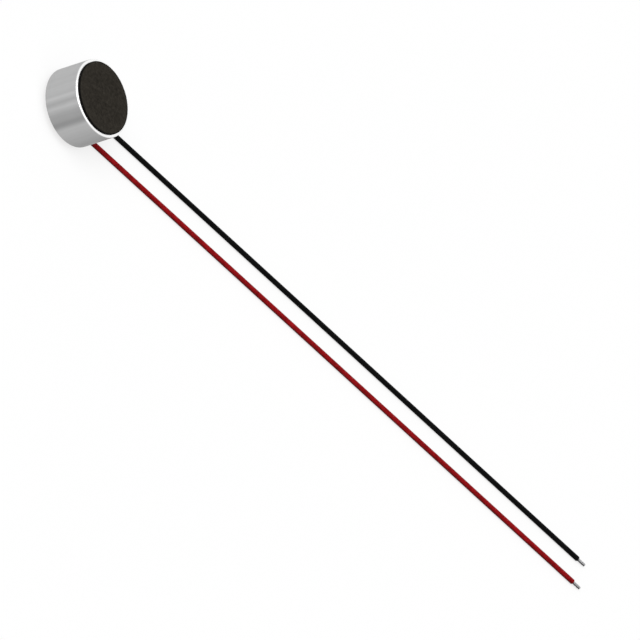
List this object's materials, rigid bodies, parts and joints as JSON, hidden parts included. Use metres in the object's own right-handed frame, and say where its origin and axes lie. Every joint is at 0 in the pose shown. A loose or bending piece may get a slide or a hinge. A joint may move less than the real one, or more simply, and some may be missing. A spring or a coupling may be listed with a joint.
{
  "type": "electret microphone capsule",
  "caption": "Round microphone capsule in an aluminium can, with a black dust felt over its front and two thin insulated leads from the board at its back.",
  "frame": {"origin": "on the surface that the part stands on, under the middle of the can", "axes": "+Z along the can's axis, out of the felt; +X the way the leads run, from the can to their bare ends; the black lead is on the +Y side"},
  "size_m": [0.107, 0.0096, 0.0059],
  "materials": {
    "can": "satin, drawn, with fine lines along the wall",
    "felt": "pressed black felt",
    "ring_brass": "turned, bare",
    "diaphragm_film": "metallised film",
    "clear_film": "clear film",
    "back_plate": "nickel-plated",
    "resin": "moulded",
    "board": "glass-fibre board with green solder mask",
    "copper": "etched copper",
    "chip": "moulded epoxy",
    "ceramic": "fired, matt",
    "tin": "tin-plated",
    "solder": "smooth solder",
    "black_insulation": "soft, slightly shiny",
    "red_insulation": "soft, slightly shiny"
  },
  "bodies": {
    "root": {"can": "can", "dust_felt": "felt", "diaphragm_ring": "ring_brass", "diaphragm": "diaphragm_film", "spacer_ring": "clear_film", "electret_film": "clear_film", "back_plate": "back_plate", "insulator_ring": "resin", "gate_ring": "ring_brass", "circuit_board": "board", "ground_copper": "copper", "output_copper": "copper", "gate_copper": "copper", "source_copper": "copper", "drain_copper": "copper", "source_via": "tin", "drain_via": "tin", "transistor_body": "chip", "gate_leg": "tin", "source_leg": "tin", "drain_leg": "tin", "capacitor_1_body": "ceramic", "capacitor_1_ends": "tin", "capacitor_2_body": "ceramic", "capacitor_2_ends": "tin", "ground_joint": "solder", "output_joint": "solder", "black_lead": "black_insulation", "black_lead_root": "tin", "black_lead_tip": "tin", "red_lead": "red_insulation", "red_lead_root": "tin", "red_lead_tip": "tin"}
  },
  "joints": []
}
